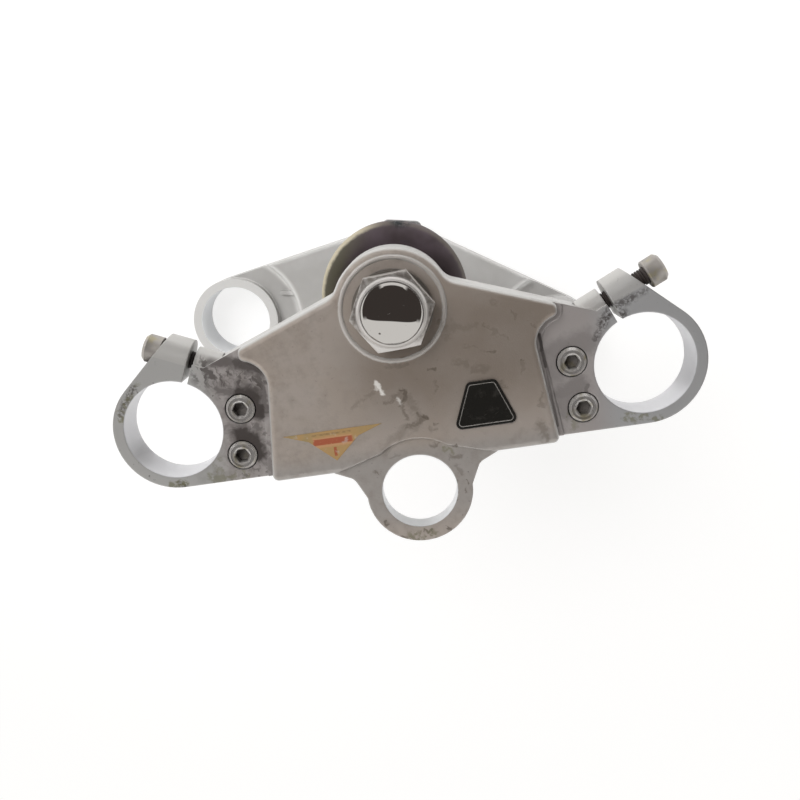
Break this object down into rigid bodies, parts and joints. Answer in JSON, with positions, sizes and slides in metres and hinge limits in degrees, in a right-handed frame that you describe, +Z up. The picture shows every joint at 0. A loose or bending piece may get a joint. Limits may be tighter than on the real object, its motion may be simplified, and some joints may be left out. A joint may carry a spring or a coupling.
{
  "type": "motorcycle triple clamp",
  "caption": "Cast upper and lower fork yokes on a steering stem with taper bearings, split pinch clamps and a domed chrome stem nut.",
  "frame": {"origin": "middle of the stem's lower end, in the plane of the lower yoke's flat underside", "axes": "+Z up the stem, -Y ahead of the bike, +X to the bike's left along the lower yoke"},
  "size_m": [0.2742, 0.1413, 0.2458],
  "materials": {
    "yoke_paint": "silver-grey paint on cast aluminium, stained and scuffed",
    "screw_zinc": "zinc-plated, dirty",
    "badge_black": "black, blank, with a thin silver border",
    "sticker_film": "faded film, tan with orange-red bars",
    "stem_steel": "machined, lightly greased",
    "seal_rubber": "black",
    "bearing_steel": "ground, greased",
    "cage_steel": "pressed",
    "cover_brown": "dark brown paint with dried dirt",
    "nut_zinc": "zinc-plated, dull",
    "nut_chrome": "polished chrome"
  },
  "bodies": {
    "stem_assembly": {"lower_yoke": "yoke_paint", "lower_pinch_screws": "screw_zinc", "steering_stem": "stem_steel", "lower_dust_seal": "seal_rubber", "lower_bearing_race": "bearing_steel", "upper_bearing_race": "bearing_steel", "dust_cover": "cover_brown", "adjuster_nut": "nut_zinc", "tab_washer": "nut_zinc", "lock_nut": "nut_zinc", "stem_washer": "nut_chrome", "stem_nut": "nut_chrome"},
    "upper_yoke_set": {"upper_yoke": "yoke_paint", "upper_pinch_screws": "screw_zinc", "handlebar_screws": "screw_zinc", "badge_plate": "badge_black", "panel_sticker": "sticker_film"},
    "lower_rollers": {"lower_bearing_rollers": "bearing_steel", "lower_bearing_cage": "cage_steel"},
    "upper_rollers": {"upper_bearing_rollers": "bearing_steel", "upper_bearing_cage": "cage_steel"}
  },
  "joints": [
    {"name": "upper_yoke_turn", "type": "hinge", "parent": "stem_assembly", "child": "upper_yoke_set", "pos_m": [0, 0, 0.21225], "axis": [0, 0, 1], "continuous": true},
    {"name": "lower_rollers_turn", "type": "hinge", "parent": "stem_assembly", "child": "lower_rollers", "pos_m": [0, 0, 0.045], "axis": [0, 0, 1], "continuous": true},
    {"name": "upper_rollers_turn", "type": "hinge", "parent": "stem_assembly", "child": "upper_rollers", "pos_m": [0, 0, 0.174], "axis": [0, 0, 1], "continuous": true}
  ]
}
